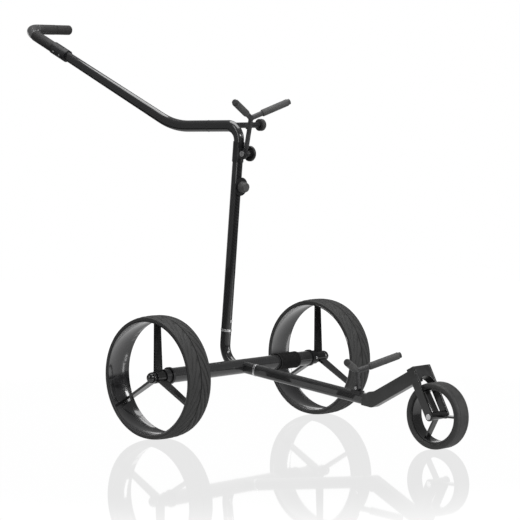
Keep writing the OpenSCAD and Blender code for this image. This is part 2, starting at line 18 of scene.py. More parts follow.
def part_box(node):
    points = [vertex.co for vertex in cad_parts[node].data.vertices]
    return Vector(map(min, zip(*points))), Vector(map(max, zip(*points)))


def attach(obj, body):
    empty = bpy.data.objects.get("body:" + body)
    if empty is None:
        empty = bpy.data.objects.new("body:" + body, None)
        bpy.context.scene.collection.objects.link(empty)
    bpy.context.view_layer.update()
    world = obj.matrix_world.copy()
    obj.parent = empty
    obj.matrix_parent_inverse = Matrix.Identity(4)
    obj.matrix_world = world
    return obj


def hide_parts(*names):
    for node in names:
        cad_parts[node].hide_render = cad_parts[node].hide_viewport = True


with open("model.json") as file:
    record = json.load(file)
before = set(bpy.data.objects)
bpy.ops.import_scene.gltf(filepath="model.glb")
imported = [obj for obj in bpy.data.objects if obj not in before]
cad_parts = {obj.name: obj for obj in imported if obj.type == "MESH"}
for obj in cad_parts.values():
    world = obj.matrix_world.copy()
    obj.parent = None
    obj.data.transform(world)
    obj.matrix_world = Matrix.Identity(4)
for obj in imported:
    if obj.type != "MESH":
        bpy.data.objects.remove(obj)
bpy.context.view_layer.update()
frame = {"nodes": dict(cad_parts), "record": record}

log = logging.getLogger("trolley")
TOUCH = 1e-5
Point = tuple[float, float, float]
Profile = Sequence[tuple[float, float]]


# ---------------------------------------------------------------- the frame's own lines


def heading(degrees: float) -> Vector:
    """Unit vector in the side plane, turned from +Y towards +Z."""
    turn = math.radians(degrees)
    return Vector((0.0, math.cos(turn), math.sin(turn)))


@dataclass(frozen=True)
class Lines:
    """The trolley's main lines: where its tubes start and how they lean."""

    mast_lean: float = 96.4
    arm_drop: float = 187.0
    handle_rise: float = 25.0
    handle_foot: Point = (0.0, 0.2110514, 0.7356123)
    mast_foot: Point = (0.0, 0.0036482, 0.195)
    grip_start: float = 0.429
    grip_corner: float = 0.5486
    grip_bend: float = 0.040
    strap_rise: float = 0.380
    tube_depth: float = 0.0275
    lower_fork: Point = (0.0, -0.4132518, 0.1565)
    lower_tip: Point = (0.094, -0.4647518, 0.189)
    upper_fork: Point = (0.0, -0.0907518, 0.733)
    upper_tip: Point = (0.094, -0.1282518, 0.771)

    def axle(self) -> Vector:
        """Middle of the rear axle."""
        low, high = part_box("axle_tube")
        return (low + high) / 2

    def on_handle(self, along: float) -> Vector:
        """Point on the sloping handle's middle line."""
        return Vector(self.handle_foot) + heading(self.handle_rise) * along

    def on_mast(self, along: float) -> Vector:
        """Point on the mast's middle line."""
        return Vector(self.mast_foot) + heading(self.mast_lean) * along


LINES = Lines()


# ---------------------------------------------------------------- shader writing


class Value:
    """A shader socket whose arithmetic adds Math nodes."""

    def __init__(self, shader: "Shader", socket: bpy.types.NodeSocket) -> None:
        """Wraps one output socket of a shader."""
        self.shader = shader
        self.socket = socket

    def _math(self, operation: str, *terms: Any) -> "Value":
        """A Math node on the terms, in order."""
        return self.shader.node("ShaderNodeMath", {"operation": operation}, dict(enumerate(terms)))

    def __add__(self, other: Any) -> "Value":
        """Sum."""
        return self._math("ADD", self, other)

    __radd__ = __add__

    def __sub__(self, other: Any) -> "Value":
        """Difference."""
        return self._math("SUBTRACT", self, other)

    def __rsub__(self, other: Any) -> "Value":
        """Difference from a number."""
        return self._math("SUBTRACT", other, self)

    def __mul__(self, other: Any) -> "Value":
        """Product."""
        return self._math("MULTIPLY", self, other)

    __rmul__ = __mul__

    def __lt__(self, other: Any) -> "Value":
        """1 where this is less."""
        return self._math("LESS_THAN", self, other)

    def floor(self) -> "Value":
        """Whole part."""
        return self._math("FLOOR", self)

    def fract(self) -> "Value":
        """Part after the whole."""
        return self._math("FRACT", self)

    def wave(self) -> "Value":
        """Height of a row of round threads, one to each whole number."""
        return self._math("ABSOLUTE", self._math("SINE", self * math.pi))

    def atan2(self, other: Any) -> "Value":
        """Angle whose rise is this and run is the other."""
        return self._math("ARCTAN2", self, other)

    def step(self, low: float, high: float) -> "Value":
        """Smooth climb from 0 at low to 1 at high."""
        settings = {"interpolation_type": "SMOOTHSTEP"}
        return self.shader.node("ShaderNodeMapRange", settings, {0: self, 1: low, 2: high})

    def part(self, axis: str) -> "Value":
        """One axis of a vector."""
        return self.shader.node("ShaderNodeSeparateXYZ", None, {0: self}, axis)

    def dot(self, axis: Point) -> "Value":
        """Length of a vector along an axis."""
        return self.shader.node("ShaderNodeVectorMath", {"operation": "DOT_PRODUCT"}, {0: self, 1: axis}, "Value")

    def scaled(self, by: Point) -> "Value":
        """Vector stretched along its axes."""
        return self.shader.node("ShaderNodeVectorMath", {"operation": "MULTIPLY"}, {0: self, 1: by})


class Shader:
    """One material and the nodes written into it."""

    def __init__(self, name: str) -> None:
        """Starts a material with a Principled surface.

        Args:
            name: the material's name.
        """
        self.material = bpy.data.materials.new(name)
        self.material.use_nodes = True
        self.tree = self.material.node_tree
        self.surface = self.tree.nodes["Principled BSDF"]

    def node(self, kind: str, settings: dict | None = None, inputs: dict | None = None, output: Any = 0) -> Value:
        """Adds a node.

        Args:
            kind: the node's type.
            settings: its properties; "stops" are a ramp's (place, colour) pairs.
            inputs: values or links of its sockets.
            output: the socket that is returned.

        Returns:
            The wrapped output socket.
        """
        made = self.tree.nodes.new(kind)
        for key, value in (settings or {}).items():
            if key == "stops":
                for stop, (place, colour) in zip(made.color_ramp.elements, value):
                    stop.position, stop.color = place, (*colour, 1.0)
            else:
                setattr(made, key, value)
        for key, value in (inputs or {}).items():
            if isinstance(value, Value):
                self.tree.links.new(value.socket, made.inputs[key])
            else:
                made.inputs[key].default_value = value
        return Value(self, made.outputs[output])

    def place(self) -> Value:
        """Position on the piece."""
        return self.node("ShaderNodeTexCoord", None, None, "Object")

    def noise(self, scale: float, detail: float = 3.0, stretch: Point = (1.0, 1.0, 1.0), rough: float = 0.55) -> Value:
        """Soft noise from 0 to 1, with so many cells to a metre."""
        inputs = {"Vector": self.place().scaled(stretch), "Scale": scale, "Detail": detail, "Roughness": rough}
        return self.node("ShaderNodeTexNoise", None, inputs, "Fac")

    def cells(self, scale: float, feature: str = "F1") -> Value:
        """Distance within rounded cells, with so many to a metre."""
        inputs = {"Vector": self.place(), "Scale": scale}
        return self.node("ShaderNodeTexVoronoi", {"feature": feature}, inputs, "Distance")

    def mix(self, share: Any, first: Any, second: Any) -> Value:
        """Colour between two colours."""
        colours = [c if isinstance(c, Value) else (*c, 1.0) for c in (first, second)]
        return self.node("ShaderNodeMix", {"data_type": "RGBA"}, {0: share, 6: colours[0], 7: colours[1]}, 2)

    def raise_by(self, height: Value, metres: float, strength: float = 1.0) -> None:
        """Feeds a height into the surface's normal.

        Args:
            height: the height field, from 0 to 1.
            metres: how far the surface rises at 1.
            strength: share of the bump that is used.
        """
        inputs = {"Height": height, "Distance": metres, "Strength": strength}
        normal = self.node("ShaderNodeBump", None, inputs, "Normal")
        self.tree.links.new(normal.socket, self.surface.inputs["Normal"])

    def set(self, **sockets: Any) -> None:
        """Sets or links the surface's sockets; a space in a name is written as _."""
        for key, value in sockets.items():
            socket = self.surface.inputs[key.replace("_", " ")]
            if isinstance(value, Value):
                self.tree.links.new(value.socket, socket)
            elif isinstance(value, tuple):
                socket.default_value = (*value, 1.0)
            else:
                socket.default_value = value


# ---------------------------------------------------------------- finishes


@dataclass(frozen=True)
class Finish:
    """A named finish."""

    name: str

    def make(self) -> bpy.types.Material:
        """Makes the finish.

        Returns:
            Its material.
        """
        shader = Shader(self.name)
        self.paint(shader)
        return shader.material

    def paint(self, shader: Shader) -> None:
        """Writes the finish's nodes."""
        raise NotImplementedError


@dataclass(frozen=True)
class Carbon(Finish):
    """Lacquered twill: threads over and under in a diagonal, under a deep clear coat."""

    along: Point = (0.0, 0.0, 1.0)
    across: Point = (0.0, 1.0, 0.0)
    thread: float = 0.0019
    round_about: Point | None = None
    radius: float = 0.0175

    def paint(self, shader: Shader) -> None:
        """Writes the weave and its lacquer.

        Args:
            shader: the material that is written.
        """
        place = shader.place()
        run = place.dot(self.along) * (1 / self.thread)
        if self.round_about is None:
            side = place.dot(self.across) * (1 / self.thread)
        else:
            rise = place.part("Z") - self.round_about[2]
            depth = place.part("Y") - self.round_about[1]
            side = rise.atan2(depth) * (self.radius / self.thread)
        over = ((run.floor() + side.floor()) * 0.25).fract() < 0.5
        bulge = over * run.wave() + (1 - over) * side.wave()
        fibre = shader.noise(2600.0, 2.0)
        cloud = shader.noise(26.0, 2.0)
        # bulge * 0.25 is painted light and shade: each thread is painted lighter on its round crown and darker in the
        # dips beside it, following the same height as the bump.
        tone = over * 0.45 + bulge * 0.25 + fibre * 0.2 + cloud * 0.15
        shader.set(
            Base_Color=shader.mix(tone, (0.0020, 0.0020, 0.0022), (0.020, 0.020, 0.021)),
            Roughness=0.30 + over * 0.16 + fibre * 0.08,
            Coat_Weight=1.0,
            Coat_Roughness=0.03,
            Coat_IOR=1.62,
            Specular_IOR_Level=0.20,
        )
        shader.raise_by(bulge, 0.00006, 0.5)


@dataclass(frozen=True)
class Coated(Finish):
    """Powder-coated or moulded surface: fine grain, faint scuffs and rubbed patches."""

    dark: Point = (0.010, 0.010, 0.011)
    pale: Point = (0.022, 0.022, 0.023)
    smooth: float = 0.36
    grain: float = 1500.0
    depth: float = 0.00006
    coat: float = 0.0

    def paint(self, shader: Shader) -> None:
        """Writes the grain and its rubbed patches.

        Args:
            shader: the material that is written.
        """
        grain = shader.noise(self.grain, 4.0)
        patch = shader.noise(38.0, 3.0).step(0.42, 0.68)
        scuff = shader.noise(240.0, 5.0, (1.0, 0.22, 1.0)).step(0.66, 0.74)
        shader.set(
            Base_Color=shader.mix(patch * 0.7 + scuff * 0.5, self.dark, self.pale),
            Roughness=self.smooth + grain * 0.10 + patch * 0.07 + scuff * 0.08,
            Coat_Weight=self.coat,
            Coat_Roughness=0.05,
        )
        shader.raise_by(grain, self.depth)


@dataclass(frozen=True)
class Brushed(Finish):
    """Bright steel with fine lines along the way it was turned or drawn."""

    stretch: Point = (1.0, 1.0, 12.0)
    tone: float = 0.72

    def paint(self, shader: Shader) -> None:
        """Writes the brushed lines and a few dull spots.

        Args:
            shader: the material that is written.
        """
        line = shader.noise(900.0, 4.0, self.stretch)
        spot = shader.noise(160.0, 3.0).step(0.58, 0.72)
        low, high = self.tone * 0.82, self.tone
        shader.set(
            Base_Color=shader.mix(line * 0.8 + spot * 0.2, (low, low, low * 1.01), (high, high, high * 1.01)),
            Metallic=1.0,
            Roughness=0.16 + line * 0.16 + spot * 0.1,
        )
        shader.raise_by(line, 0.00003)


@dataclass(frozen=True)
class Rubber(Finish):
    """Moulded rubber: fine pores, a mottled bloom and dust that has settled in."""

    dark: Point = (0.030, 0.030, 0.030)
    pale: Point = (0.052, 0.052, 0.051)
    smooth: float = 0.62
    pores: float = 1800.0
    shine: float = 0.42

    def paint(self, shader: Shader) -> None:
        """Writes the pores and the bloom.

        Args:
            shader: the material that is written.
        """
        pore = shader.cells(self.pores).step(0.0, 0.45)
        fine = shader.noise(self.pores * 0.6, 4.0)
        bloom = shader.noise(55.0, 4.0).step(0.35, 0.75)
        dust = shader.noise(700.0, 5.0).step(0.62, 0.78)
        shader.set(
            Base_Color=shader.mix(bloom * 0.65 + dust * 0.35, self.dark, self.pale),
            Roughness=self.smooth + bloom * 0.12 + dust * 0.1 + fine * 0.08,
            Specular_IOR_Level=self.shine,
        )
        shader.raise_by(pore * 0.45 + fine * 0.55, 0.00008, 0.7)


@dataclass(frozen=True)
class Leather(Finish):
    """Grip wrap: pebbled grain with fine creases and hand-polished high spots."""

    dark: Point = (0.007, 0.007, 0.007)
    pale: Point = (0.021, 0.020, 0.020)

    def paint(self, shader: Shader) -> None:
        """Writes the pebbles, creases and polish.

        Args:
            shader: the material that is written.
        """
        pebble = shader.cells(1050.0, "DISTANCE_TO_EDGE").step(0.0, 0.16)
        crease = shader.noise(420.0, 5.0, (1.0, 0.4, 1.0))
        polish = shader.noise(60.0, 3.0).step(0.40, 0.70)
        # The colour follows the bump's heights: painted shade darkens the borders between pebbles and the low parts of
        # the creases, and the raised parts are painted lighter.
        shader.set(
            Base_Color=shader.mix(pebble * 0.55 + crease * 0.45, self.dark, self.pale),
            Roughness=0.66 - polish * 0.16 - pebble * 0.06 + crease * 0.1,
            Specular_IOR_Level=0.45,
        )
        shader.raise_by(pebble * 0.7 + crease * 0.5, 0.00006, 0.6)


@dataclass(frozen=True)
class Thread(Finish):
    """Twisted sewing thread."""

    tone: float = 0.060

    def paint(self, shader: Shader) -> None:
        """Writes the twist of the thread.

        Args:
            shader: the material that is written.
        """
        twist = (shader.place().dot((0.6, 0.5, 0.62)) * 2400.0).wave()
        low = self.tone * 0.5
        # The colour follows the twist's height: painted highlight on each ply's crown and painted shade in the grooves
        # between plies.
        shader.set(
            Base_Color=shader.mix(twist, (low, low, low), (self.tone, self.tone, self.tone)),
            Roughness=0.7 + twist * 0.15,
        )
        shader.raise_by(twist, 0.0001)


class Look(Enum):
    """Every finish on the trolley."""

    AXLE = Carbon("axle_carbon", (1, 0, 0), round_about=tuple(LINES.axle()), radius=0.0175)
    MAST = Carbon("mast_carbon", tuple(heading(LINES.mast_lean)), tuple(heading(LINES.mast_lean + 90)))
    ARM = Carbon("arm_carbon", tuple(heading(LINES.arm_drop)), tuple(heading(LINES.arm_drop + 90)))
    LEVEL = Carbon("top_carbon", (0, 1, 0), (0, 0, 1))
    SLOPE = Carbon("handle_carbon", tuple(heading(LINES.handle_rise)), tuple(heading(LINES.handle_rise + 90)))
    SATIN = Coated("satin_black_coat", (0.006, 0.006, 0.007), (0.014, 0.014, 0.015), 0.30, depth=0.00003)
    FORK = Coated("fork_coat", (0.006, 0.006, 0.006), (0.011, 0.011, 0.012), 0.26, depth=0.00001, coat=0.4)
    CRADLE = Coated("cradle_coat", (0.024, 0.024, 0.025), (0.044, 0.044, 0.045), 0.46, 1100.0, 0.00005)
    GLOSS = Coated("polished_black", (0.003, 0.003, 0.003), (0.007, 0.007, 0.008), 0.16, 420.0, 0.000004, 0.5)
    DRUM = Coated("drum_lacquer", (0.008, 0.008, 0.009), (0.014, 0.014, 0.015), 0.13, 260.0, 0.000003, 1.0)
    PLUG = Coated("moulded_end", (0.018, 0.018, 0.018), (0.034, 0.034, 0.034), 0.50, 1300.0, 0.00006)
    STEEL = Brushed("brushed_ring")
    BOLT = Brushed("turned_steel", (12.0, 1.0, 1.0), 0.66)
    BUTTON = Brushed("button_steel", (1.0, 12.0, 1.0), 0.78)
    BEND = Brushed("polished_bend", (1.0, 1.0, 1.0), 0.40)
    TREAD = Rubber("tread_rubber", (0.022, 0.022, 0.022), (0.038, 0.038, 0.037))
    FRONT_TREAD = Rubber("front_tyre_rubber", (0.022, 0.022, 0.022), (0.040, 0.040, 0.039), 0.52)
    SLEEVE = Rubber("cradle_sleeve_rubber", (0.050, 0.050, 0.050), (0.085, 0.084, 0.082), 0.62, 1500.0)
    TWIST = Rubber("ribbed_sleeve_rubber", (0.004, 0.004, 0.004), (0.009, 0.009, 0.009), 0.56, 1500.0, 0.22)
    KNOB = Rubber("knob_rubber", (0.026, 0.026, 0.026), (0.048, 0.048, 0.047), 0.50, 1200.0)
    STRAP = Rubber("strap_knob_rubber", (0.055, 0.055, 0.055), (0.090, 0.090, 0.088), 0.50, 1200.0)
    WRAP = Leather("grip_leather")
    THREAD = Thread("grip_thread", 0.11)


class Palette:
    """Materials made once for each look."""

    def __init__(self) -> None:
        """Starts empty."""
        self._made: dict[Look, bpy.types.Material] = {}

    def get(self, look: Look) -> bpy.types.Material:
        """Finds or makes the material of a look.

        Args:
            look: the finish wanted.

        Returns:
            Its material.
        """
        if look not in self._made:
            self._made[look] = look.value.make()
        return self._made[look]


# ---------------------------------------------------------------- shaping by operators


class Part(Enum):
    """What an edit-mode choice picks."""

    VERT = "VERT"
    EDGE = "EDGE"
    FACE = "FACE"


class Work:
    """A mesh that is shaped in edit mode by operators."""

    def __init__(self, name: str) -> None:
        """Remembers the piece's name.

        Args:
            name: what the piece and its mesh are called.
        """
        self.name = name
        self.obj: bpy.types.Object | None = None
        self.level = False

    @staticmethod
    def clear() -> None:
        """Deselects everything."""
        if bpy.context.object and bpy.context.object.mode != "OBJECT":
            bpy.ops.object.mode_set(mode="OBJECT")
        for obj in list(bpy.context.selected_objects):
            obj.select_set(False)

    def _take(self) -> None:
        """Names the new primitive and opens it for editing."""
        self.obj = bpy.context.object
        self.obj.name = self.obj.data.name = self.name
        bpy.ops.object.mode_set(mode="EDIT")

    def circle(self, radius: float, height: float, sides: int, filled: bool) -> "Work":
        """Starts from a circle about the Z axis.

        Args:
            radius: the circle's radius.
            height: its place on the axis.
            sides: its number of corners.
            filled: whether it is a disc.

        Returns:
            This work.
        """
        self.clear()
        bpy.ops.mesh.primitive_circle_add(
            vertices=sides, radius=radius, location=(0, 0, height), fill_type="NGON" if filled else "NOTHING"
        )
        bpy.ops.object.transform_apply(location=True, rotation=True, scale=True)
        self._take()
        bpy.ops.mesh.select_all(action="SELECT")
        return self

    def copy_of(self, node: str, dissolve: bool = True) -> "Work":
        """Starts from a merged copy of a frame node.

        Args:
            node: the frame node.
            dissolve: whether its flat faces are joined up.

        Returns:
            This work.
        """
        self.clear()
        source = frame["nodes"][node]
        self.obj = bpy.data.objects.new(self.name, source.data.copy())
        self.obj.data.name = self.name
        bpy.context.scene.collection.objects.link(self.obj)
        self.obj.select_set(True)
        bpy.context.view_layer.objects.active = self.obj
        bpy.ops.object.mode_set(mode="EDIT")
        bpy.ops.mesh.select_all(action="SELECT")
        bpy.ops.mesh.customdata_custom_splitnormals_clear()
        bpy.ops.mesh.remove_doubles(threshold=2e-6)
        if dissolve:
            bpy.ops.mesh.dissolve_limited(angle_limit=math.radians(0.4))
        return self

    def twin(self, name: str) -> "Work":
        """Copies the shape so far, with a mesh of its own.

        Args:
            name: what the copy is called.

        Returns:
            The copy's work.
        """
        self.clear()
        other = Work(name)
        other.obj = self.obj.copy()
        other.obj.data = self.obj.data.copy()
        other.obj.name = other.obj.data.name = name
        bpy.context.scene.collection.objects.link(other.obj)
        return other

    def discard(self) -> None:
        """Removes a pattern whose copies are made."""
        self.clear()
        bpy.data.objects.remove(self.obj)

    def pick(self, what: Part, test: Callable[[Vector, Vector], bool]) -> int:
        """Selects by place and normal.

        Args:
            what: vertices, edges or faces.
            test: whether an element at this middle, with this normal, is chosen.

        Returns:
            How many were chosen.
        """
        bpy.ops.mesh.select_all(action="DESELECT")
        bpy.ops.mesh.select_mode(type=what.value)
        mesh = bmesh.from_edit_mesh(self.obj.data)
        mesh.normal_update()
        if what is Part.VERT:
            rows = [(v, v.co, v.normal) for v in mesh.verts]
        elif what is Part.EDGE:
            rows = [(e, (e.verts[0].co + e.verts[1].co) / 2, Vector()) for e in mesh.edges if e.is_boundary]
        else:
            rows = [(f, f.calc_center_median(), f.normal) for f in mesh.faces]
        chosen = [item for item, middle, normal in rows if test(middle, normal)]
        for item in chosen:
            item.select_set(True)
        mesh.select_flush_mode()
        bmesh.update_edit_mesh(self.obj.data)
        return len(chosen)

    def lathe(self, profile: Profile, sides: int, ring: bool) -> "Work":
        """Draws a round shape about the Z axis by repeated extrusion.

        Args:
            profile: (height, radius) points in order.
            sides: faces round the axis.
            ring: whether the profile closes on itself, with a hole through it.

        Returns:
            This work.
        """
        height, radius = profile[0]
        self.circle(radius, height, sides, not ring)
        for next_height, next_radius in profile[1:]:
            bpy.ops.mesh.extrude_region_move(TRANSFORM_OT_translate={"value": (0, 0, next_height - height)})
            scale = next_radius / radius
            bpy.ops.transform.resize(value=(scale, scale, 1.0), center_override=(0, 0, next_height))
            height, radius = next_height, next_radius
        if ring:
            self.pick(Part.EDGE, lambda middle, normal: True)
            bpy.ops.mesh.bridge_edge_loops()
        return self.outwards()

    def outwards(self) -> "Work":
        """Merges doubles and turns every face outwards.

        Returns:
            This work.
        """
        bpy.ops.mesh.select_mode(type="VERT")
        bpy.ops.mesh.select_all(action="SELECT")
        bpy.ops.mesh.remove_doubles(threshold=1e-7)
        bpy.ops.mesh.normals_make_consistent(inside=False)
        return self

    def stand(self, start: Vector, direction: Vector) -> "Work":
        """Moves a piece drawn about Z to its axis, and keeps the place in its mesh.

        Args:
            start: where the drawing's zero goes.
            direction: where its Z axis points.

        Returns:
            This work.
        """
        bpy.ops.object.mode_set(mode="OBJECT")
        self.obj.rotation_mode = "QUATERNION"
        self.obj.rotation_quaternion = direction.to_track_quat("Z", "Y")
        self.obj.location = start
        self.clear()
        self.obj.select_set(True)
        bpy.context.view_layer.objects.active = self.obj
        bpy.ops.object.transform_apply(location=True, rotation=True, scale=True)
        return self

    def soften(self, width: float, segments: int = 2, angle: float = 32.0) -> "Work":
        """Rounds the sharp edges with an applied bevel.

        Args:
            width: the rounding's width.
            segments: faces across it.
            angle: degrees past which an edge is sharp.

        Returns:
            This work.
        """
        if self.obj.mode != "OBJECT":
            bpy.ops.object.mode_set(mode="OBJECT")
        bpy.context.view_layer.objects.active = self.obj
        bevel = self.obj.modifiers.new("rounding", "BEVEL")
        bevel.width, bevel.segments = width, segments
        bevel.limit_method, bevel.angle_limit = "ANGLE", math.radians(angle)
        bevel.use_clamp_overlap = True
        bpy.ops.object.modifier_apply(modifier=bevel.name)
        self.level = True
        return self

    def done(self, smooth: float = 38.0) -> bpy.types.Object:
        """Shades the piece and leaves edit mode.

        Args:
            smooth: degrees up to which two faces shade as one.

        Returns:
            The finished piece.
        """
        if self.obj.mode != "OBJECT":
            bpy.ops.object.mode_set(mode="OBJECT")
        self.clear()
        self.obj.select_set(True)
        bpy.context.view_layer.objects.active = self.obj
        bpy.ops.object.shade_smooth_by_angle(angle=math.radians(smooth))
        if self.level:
            weigh = self.obj.modifiers.new("flat_faces", "WEIGHTED_NORMAL")
            weigh.keep_sharp, weigh.weight = True, 100
            bpy.ops.object.modifier_apply(modifier=weigh.name)
        self.obj.select_set(False)
        return self.obj


# ---------------------------------------------------------------- the shop that fits pieces


class Shop:
    """Dresses frame nodes and fits new pieces to their bodies."""

    def __init__(self) -> None:
        """Reads which body and slot each node has."""
        record = frame["record"]
        self.palette = Palette()
        self.body = {n: b for b, members in record["behaviour"]["bodies"].items() for n in members}
        self.slot = {s["node"]: s["material_slot"] for s in record["subparts"]}

    def dress(self, look: Look, *nodes: str) -> None:
        """Gives frame nodes a finish and keeps their shape.

        Args:
            look: the finish.
            *nodes: the nodes that get it.
        """
        for node in nodes:
            data = frame["nodes"][node].data
            data.materials.clear()
            data.materials.append(self.palette.get(look))
            log.info("%s: dressed as %s", node, look.name)

    def fit(self, obj: bpy.types.Object, look: Look, node: str, replaces: bool = True) -> bpy.types.Object:
        """Puts a new piece on its body.

        Args:
            obj: the finished piece.
            look: its finish.
            node: the frame node that it stands for or sits on.
            replaces: whether the node is hidden.

        Returns:
            The piece.
        """
        obj.data.materials.clear()
        obj.data.materials.append(self.palette.get(look))
        for face in obj.data.polygons:
            face.material_index = 0
        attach(obj, self.body[node])
        if replaces:
            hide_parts(node)
        log.info("%s: %d faces on %s", obj.name, len(obj.data.polygons), self.body[node])
        return obj

    def round_off(self, look: Look, width: float, *nodes: str) -> None:
        """Replaces nodes by copies with rounded edges.

        Args:
            look: the copies' finish.
            width: the rounding's width; 0 keeps the shape and only evens its shading.
            *nodes: the nodes that are replaced.
        """
        for node in nodes:
            work = Work(f"{node}_rounded").copy_of(node, width > 0)
            if width > 0:
                work.soften(width)
            self.fit(work.done(), look, node)

    def turned(self, name: str, look: Look, node: str, start: Vector, direction: Vector, profile: Profile,
               sides: int = 64, ring: bool = False, replaces: bool = True) -> bpy.types.Object:
        """Makes a turned piece about an axis and fits it.

        Args:
            name: the piece's name.
            look: its finish.
            node: the node that it stands for or sits on.
            start: where its profile's zero lies.
            direction: its axis.
            profile: (distance, radius) points.
            sides: faces round the axis.
            ring: whether it has a hole through it.
            replaces: whether the node is hidden.

        Returns:
            The piece.
        """
        work = Work(name).lathe(profile, sides, ring).stand(start, direction)
        return self.fit(work.done(), look, node, replaces)


def rounded_end(length: float, radius: float, fillet: float, steps: int = 4) -> list[tuple[float, float]]:
    """Profile of a bar with filleted ends.

    Args:
        length: the bar's length, from 0.
        radius: its radius.
        fillet: the rounding of its ends.
        steps: faces across each rounding.

    Returns:
        (distance, radius) points.
    """
    arc = [math.pi / 2 * i / steps for i in range(steps + 1)]
    low = [(fillet * (1 - math.sin(a)), radius - fillet * (1 - math.cos(a))) for a in reversed(arc)]
    high = [(length - fillet * (1 - math.sin(a)), radius - fillet * (1 - math.cos(a))) for a in arc]
    return low + high


# ---------------------------------------------------------------- rear wheels


class Side(Enum):
    """The user's left or right, and its sign along X."""

    LEFT = 1
    RIGHT = -1


@dataclass
class RearWheels:
    """Drum wheels: a swept tread on a thin lacquered drum, blade spokes and a ball cap."""

    shop: Shop
    radius: float = 0.1425
    seat: float = 0.1325
    half_width: float = 0.0335
    crown_drop: float = 0.0036
    crown_power: float = 3.2
    rows: int = 144
    cuts: tuple[float, ...] = (0.0015, 0.003, 0.0065, 0.010, 0.0135, 0.017, 0.0205, 0.024, 0.0252, 0.0285, 0.0318)
    groove_depth: float = 0.0026
    sweep: float = 40.0
    sweep_power: float = 1.35
    leaf_from: float = 0.0025
    leaf_to: float = 0.0262
    falls: tuple[float, ...] = (1.0, 0.40, 0.14, 0.0, 0.0, 0.22)
    crease_half: float = 0.0009
    crease_edge: float = 0.0011
    crease_depth: float = 0.0022
    walls: tuple[tuple[float, float], ...] = ((0.1378, 0.0), (0.1368, 0.0007), (0.1356, 0.0007), (0.1350, 0.0))
    drum_inner: float = 0.130
    direction: int = 1

    def crown(self, out: float) -> float:
        """Tread radius at a distance from the wheel's middle plane."""
        share = out / self.half_width
        return self.radius - self.crown_drop * share ** self.crown_power

    def turn(self, out: float) -> float:
        """Angle by which the tread's pattern has swept at a distance from the middle."""
        return self.sweep * (abs(out) / self.half_width) ** self.sweep_power

    def tread(self) -> Work:
        """The tyre's shell, swept into leaf-shaped blocks with grooves between them.

        Returns:
            The shell, open at both sides, about the Z axis.
        """
        work = Work("tyre_pattern")
        edges = [-self.half_width, *(-cut for cut in reversed(self.cuts)), *self.cuts, self.half_width]
        work.circle(self.crown(self.half_width), edges[0], self.rows, False)
        last = edges[0]
        for edge in edges[1:]:
            scale = self.crown(abs(edge)) / self.crown(abs(last))
            bpy.ops.mesh.extrude_region_move(TRANSFORM_OT_translate={"value": (0, 0, edge - last)})
            bpy.ops.transform.resize(value=(scale, scale, 1.0), center_override=(0, 0, edge))
            last = edge
        for edge in edges:
            work.pick(Part.VERT, lambda middle, normal: abs(middle.z - edge) < TOUCH)
            swept = -math.radians(self.turn(edge))
            bpy.ops.transform.rotate(value=swept, orient_axis="Z", center_override=(0, 0, edge))
        work.outwards()
        self.direction = self.measure_turn(work)
        for phase, fall in enumerate(self.falls):
            work.pick(Part.VERT, lambda middle, normal: self.on_leaf(abs(middle.z))
                      and self.phase(middle) == phase)
            scale = 1.0 - fall * self.groove_depth / self.radius
            bpy.ops.transform.resize(value=(scale, scale, 1.0), center_override=(0, 0, 0))
        work.pick(Part.FACE, lambda middle, normal: abs(middle.z) < self.crease_half)
        bpy.ops.mesh.inset(thickness=self.crease_edge, depth=-self.crease_depth, use_even_offset=False)
        return work

    def on_leaf(self, out: float) -> bool:
        """Whether a distance from the middle plane is carved into leaves."""
        return self.leaf_from < out < self.leaf_to

    def phase(self, place: Vector) -> int:
        """Row of a tread point within its leaf; the two sides are half a leaf apart.

        Args:
            place: a point of the tread.

        Returns:
            The row, from 0 at the groove.
        """
        angle = math.degrees(math.atan2(place.y, place.x)) - self.turn(place.z) * self.direction
        row = round(angle / (360.0 / self.rows)) * self.direction
        count = len(self.falls)
        return (row + (count // 2 if place.z < 0 else 0)) % count

    def measure_turn(self, work: Work) -> int:
        """Finds which way the sweep went.

        Args:
            work: the swept shell.

        Returns:
            1 with the angle, -1 against it.
        """
        step, cut = 360.0 / self.rows, self.cuts[2]
        mesh = bmesh.from_edit_mesh(work.obj.data)
        found = [math.degrees(math.atan2(v.co.y, v.co.x)) for v in mesh.verts if abs(v.co.z - cut) < TOUCH]
        rows = [(found[0] - way * self.turn(cut)) / step for way in (1, -1)]
        off = [abs(row - round(row)) for row in rows]
        return 1 if off[0] <= off[1] else -1

    def tyre(self) -> Work:
        """Closes the tread with stepped side walls.

        Returns:
            The tyre about the Z axis.
        """
        work = self.tread()
        for way in (-1, 1):
            work.pick(Part.EDGE, lambda middle, normal: middle.z * way > self.half_width - 1e-4)
            last = self.crown(self.half_width)
            for radius, inset in (*self.walls, (self.seat, 0.0)):
                bpy.ops.mesh.extrude_region_move(TRANSFORM_OT_translate={"value": (0, 0, 0)})
                scale = radius / last
                bpy.ops.transform.resize(value=(scale, scale, 1.0), center_override=(0, 0, 0))
                work.pick(Part.VERT, lambda middle, normal: abs(middle.xy.length - radius) < 2e-4
                          and middle.z * way > self.half_width - 2e-4)
                if inset:
                    bpy.ops.transform.translate(value=(0, 0, -way * inset))
                work.pick(Part.EDGE, lambda middle, normal: middle.z * way > self.half_width - 0.002)
                last = radius
        work.pick(Part.EDGE, lambda middle, normal: True)
        bpy.ops.mesh.bridge_edge_loops()
        return work.outwards()

    def drum(self) -> Work:
        """The thin drum with a rolled lip at each edge.

        Returns:
            The drum about the Z axis.
        """
        w, outer, inner = self.half_width, self.seat - 0.0001, self.drum_inner
        half = [(w - 0.0030, inner), (w - 0.0022, inner - 0.0006), (w - 0.0008, inner - 0.0006), (w, inner + 0.0004),
                (w, outer - 0.0006), (w - 0.0006, outer)]
        return Work("drum_pattern").lathe([(-x, r) for x, r in reversed(half)] + half, self.rows, True)

